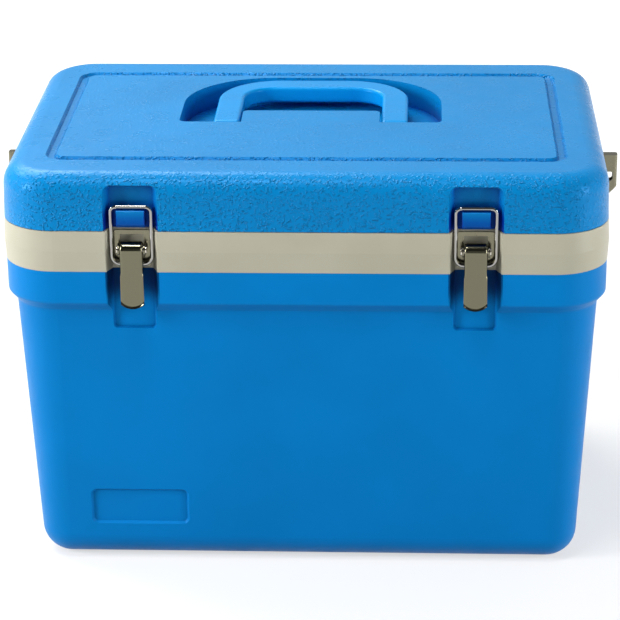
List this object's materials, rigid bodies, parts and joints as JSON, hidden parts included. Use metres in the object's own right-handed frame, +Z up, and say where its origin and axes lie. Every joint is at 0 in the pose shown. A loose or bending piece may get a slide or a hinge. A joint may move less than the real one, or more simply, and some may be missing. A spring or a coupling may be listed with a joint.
{
  "type": "vaccine carrier",
  "caption": "Insulated hand-carried cool box for vaccines: hinged lid with fold-down handle, wire bail latches, strap lugs and standing ice packs round an inner basin.",
  "frame": {"origin": "middle of the flat base, on the surface the carrier stands on", "axes": "+Z up, +X to the right seen from the latch side, the latches face -Y and the hinges +Y"},
  "size_m": [0.4554, 0.3037, 0.305],
  "materials": {
    "shell": "satin moulded plastic, pebbled on the lid",
    "handle": "smooth satin moulded plastic",
    "liner": "satin moulded plastic",
    "foam": "rigid insulating foam",
    "steel": "satin stainless steel",
    "wire": "bright wire",
    "gasket": "soft rubber",
    "pack": "translucent moulded plastic",
    "cap": "moulded plastic"
  },
  "bodies": {
    "box": {"outer_shell": "shell", "inner_liner": "liner", "body_foam": "foam", "latch_rivets": "steel", "hinge_body_rivets": "steel", "strap_lug_rivets": "steel", "ice_pack_caps": "cap", "latch_base_left": "steel", "latch_pin_left": "steel", "hinge_body_leaf_left": "steel", "hinge_pin_left": "steel", "strap_lug_left": "steel", "latch_base_right": "steel", "latch_pin_right": "steel", "hinge_body_leaf_right": "steel", "hinge_pin_right": "steel", "strap_lug_right": "steel", "ice_pack_front": "pack", "ice_pack_rear": "pack", "ice_pack_left": "pack", "ice_pack_right": "pack"},
    "lid": {"lid_shell": "shell", "lid_liner": "liner", "lid_foam": "foam", "lid_gasket": "gasket", "handle_pins": "steel", "hinge_lid_leaf_left": "steel", "hinge_lid_leaf_right": "steel", "hinge_lid_rivets": "steel"},
    "handle": {"carry_handle": "handle"},
    "latch_left": {"latch_lever_left": "steel"},
    "bail_left": {"latch_bail_left": "wire"},
    "latch_right": {"latch_lever_right": "steel"},
    "bail_right": {"latch_bail_right": "wire"}
  },
  "joints": [
    {"name": "lid_hinge", "type": "hinge", "parent": "box", "child": "lid", "pos_m": [0, 0.1486, 0.26525], "axis": [-1, 0, 0], "range_deg": [0, 180]},
    {"name": "handle_pivot", "type": "hinge", "parent": "lid", "child": "handle", "pos_m": [0, -0.011, 0.2985], "axis": [1, 0, 0], "range_deg": [0, 95]},
    {"name": "latch_left_pivot", "type": "hinge", "parent": "box", "child": "latch_left", "pos_m": [-0.1202, -0.1438, 0.2508], "axis": [-1, 0, 0], "range_deg": [0, 120]},
    {"name": "bail_left_pivot", "type": "hinge", "parent": "latch_left", "child": "bail_left", "pos_m": [-0.1202, -0.1426, 0.24], "axis": [-1, 0, 0], "range_deg": [-135, 0]},
    {"name": "latch_right_pivot", "type": "hinge", "parent": "box", "child": "latch_right", "pos_m": [0.1202, -0.1438, 0.2508], "axis": [-1, 0, 0], "range_deg": [0, 120]},
    {"name": "bail_right_pivot", "type": "hinge", "parent": "latch_right", "child": "bail_right", "pos_m": [0.1202, -0.1426, 0.24], "axis": [-1, 0, 0], "range_deg": [-135, 0]}
  ],
  "couplings": [
    {"joint": "bail_left_pivot", "follows": "latch_left_pivot", "ratio": -1.1},
    {"joint": "bail_right_pivot", "follows": "latch_right_pivot", "ratio": -1.1}
  ]
}
